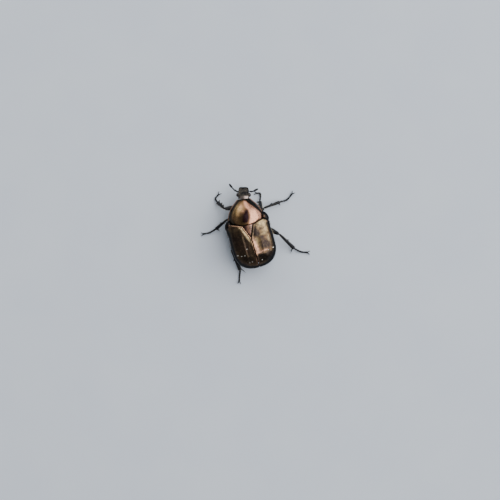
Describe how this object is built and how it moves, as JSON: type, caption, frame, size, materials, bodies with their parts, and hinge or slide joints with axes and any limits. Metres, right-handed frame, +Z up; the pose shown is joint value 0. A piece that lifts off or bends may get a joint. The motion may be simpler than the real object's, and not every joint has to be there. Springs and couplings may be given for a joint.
{
  "type": "rose chafer beetle",
  "caption": "Life-size still model of a rose chafer beetle standing with its legs spread, with metallic copper and bronze shell plates.",
  "frame": {"origin": "centre of the base of the bounding box, on the floor that the feet stand on", "axes": "+Z up, the head points along -Y, the beetle's left side is +X"},
  "size_m": [0.0226, 0.0222, 0.0078],
  "materials": {
    "pronotum_shell": "metallic copper to green-gold cuticle, finely punctured, clear glossy surface",
    "wing_case_shell": "metallic bronze cuticle with fine crescent punctures and a few small chalky white flecks",
    "bronze_plates": "metallic coppery brown cuticle, smooth",
    "head_shell": "dark bronze cuticle, densely punctured, with a raised rim",
    "underside": "dark coppery underside with pale hairs",
    "legs": "black metallic cuticle with stiff pale hairs",
    "feelers": "black satin cuticle",
    "eyes": "dark faceted eye, glossy"
  },
  "bodies": {
    "root": {"abdomen": "underside", "antenna_left": "feelers", "antenna_right": "feelers", "club_left": "feelers", "club_right": "feelers", "coxa_front_left": "underside", "coxa_front_right": "underside", "coxa_hind_left": "underside", "coxa_hind_right": "underside", "coxa_mid_left": "underside", "coxa_mid_right": "underside", "elytron_left": "wing_case_shell", "elytron_right": "wing_case_shell", "eye_left": "eyes", "eye_right": "eyes", "femur_front_left": "legs", "femur_front_right": "legs", "femur_hind_left": "legs", "femur_hind_right": "legs", "femur_mid_left": "legs", "femur_mid_right": "legs", "head": "head_shell", "lower_lip": "underside", "mesepimeron_left": "bronze_plates", "mesepimeron_right": "bronze_plates", "palp_left": "feelers", "palp_right": "feelers", "pronotum": "pronotum_shell", "prosternum": "underside", "pygidium": "bronze_plates", "scutellum": "bronze_plates", "tarsus_front_left": "legs", "tarsus_front_right": "legs", "tarsus_hind_left": "legs", "tarsus_hind_right": "legs", "tarsus_mid_left": "legs", "tarsus_mid_right": "legs", "thorax": "underside", "tibia_front_left": "legs", "tibia_front_right": "legs", "tibia_hind_left": "legs", "tibia_hind_right": "legs", "tibia_mid_left": "legs", "tibia_mid_right": "legs"}
  },
  "joints": []
}
